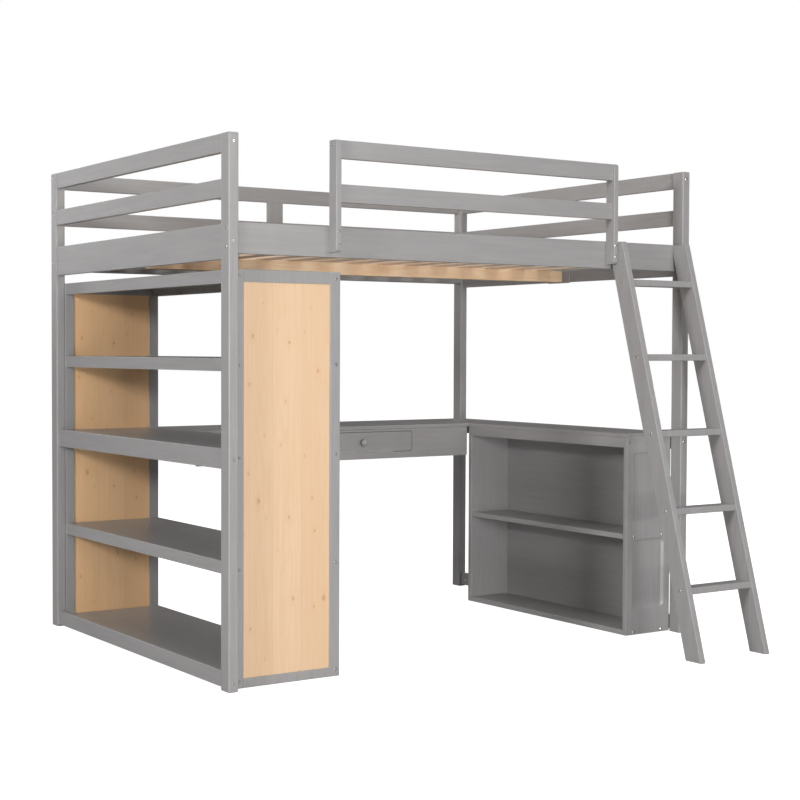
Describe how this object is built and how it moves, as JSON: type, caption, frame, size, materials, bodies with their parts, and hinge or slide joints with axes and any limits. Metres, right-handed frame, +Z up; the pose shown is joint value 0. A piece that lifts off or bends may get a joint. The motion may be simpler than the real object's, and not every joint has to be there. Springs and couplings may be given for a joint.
{
  "type": "loft bed with desk",
  "caption": "Raised full-size slatted bed on corner posts, with an open bookcase tower, an L-shaped desk with a drawer, a low bookcase, guard rails and a leaning ladder.",
  "frame": {"origin": "on the floor, at the centre of the whole footprint, ladder included", "axes": "+X along the bed from the bookcase tower towards the ladder, +Y from the ladder side to the wall side, +Z up"},
  "size_m": [2.02, 1.924, 1.78],
  "materials": {
    "grey_paint": "satin grey paint over wood",
    "natural_pine": "clear-coated natural pine with small knots",
    "slat_pine": "planed bare pine",
    "drawer_wood": "bare plywood",
    "zinc_steel": "zinc-plated"
  },
  "bodies": {
    "bed_frame": {"back_guard_mid_rail": "grey_paint", "back_guard_top_rail": "grey_paint", "back_guard_uprights": "grey_paint", "barrel_nuts": "zinc_steel", "beam_hangers": "grey_paint", "bed_slats": "slat_pine", "bookcase_back_panel": "grey_paint", "bookcase_header": "grey_paint", "bookcase_shelves": "grey_paint", "bookcase_side_back": "grey_paint", "bookcase_side_front": "grey_paint", "centre_beam": "slat_pine", "desk_apron": "grey_paint", "desk_cross_rails": "grey_paint", "desk_top_back": "grey_paint", "desk_top_right": "grey_paint", "desk_wall_rail": "grey_paint", "drawer_runners": "grey_paint", "end_base_rail_left": "grey_paint", "end_base_rail_right": "grey_paint", "end_board_left": "grey_paint", "end_board_right": "grey_paint", "end_desk_rail_left": "grey_paint", "end_desk_rail_right": "grey_paint", "end_mid_rail_left": "grey_paint", "end_mid_rail_right": "grey_paint", "end_top_rail_left": "grey_paint", "end_top_rail_right": "grey_paint", "frame_bolts": "zinc_steel", "guard_mid_rail": "grey_paint", "guard_post_left": "grey_paint", "guard_post_right": "grey_paint", "guard_top_rail": "grey_paint", "ladder_bolts": "zinc_steel", "ladder_rungs": "grey_paint", "ladder_side_left": "grey_paint", "ladder_side_right": "grey_paint", "post_back_left": "grey_paint", "post_back_right": "grey_paint", "post_front_left": "grey_paint", "post_front_right": "grey_paint", "shelf_bolts": "zinc_steel", "side_rail_back": "grey_paint", "side_rail_front": "grey_paint", "slat_ledgers": "grey_paint", "slat_screws": "zinc_steel", "tower_frame_back": "grey_paint", "tower_frame_front": "grey_paint", "tower_panel_back": "natural_pine", "tower_panel_front": "natural_pine", "tower_shelf_base": "grey_paint", "tower_shelf_desk": "grey_paint", "tower_shelf_lower": "grey_paint", "tower_shelf_top": "grey_paint", "tower_shelf_upper": "grey_paint"},
    "drawer": {"drawer_bottom": "drawer_wood", "drawer_box": "drawer_wood", "drawer_front": "grey_paint", "drawer_knob": "grey_paint", "knob_screw": "zinc_steel"}
  },
  "joints": [
    {"name": "drawer_slide", "type": "slide", "parent": "bed_frame", "child": "drawer", "axis": [0, -1, 0], "range_m": [0, 0.26]}
  ]
}
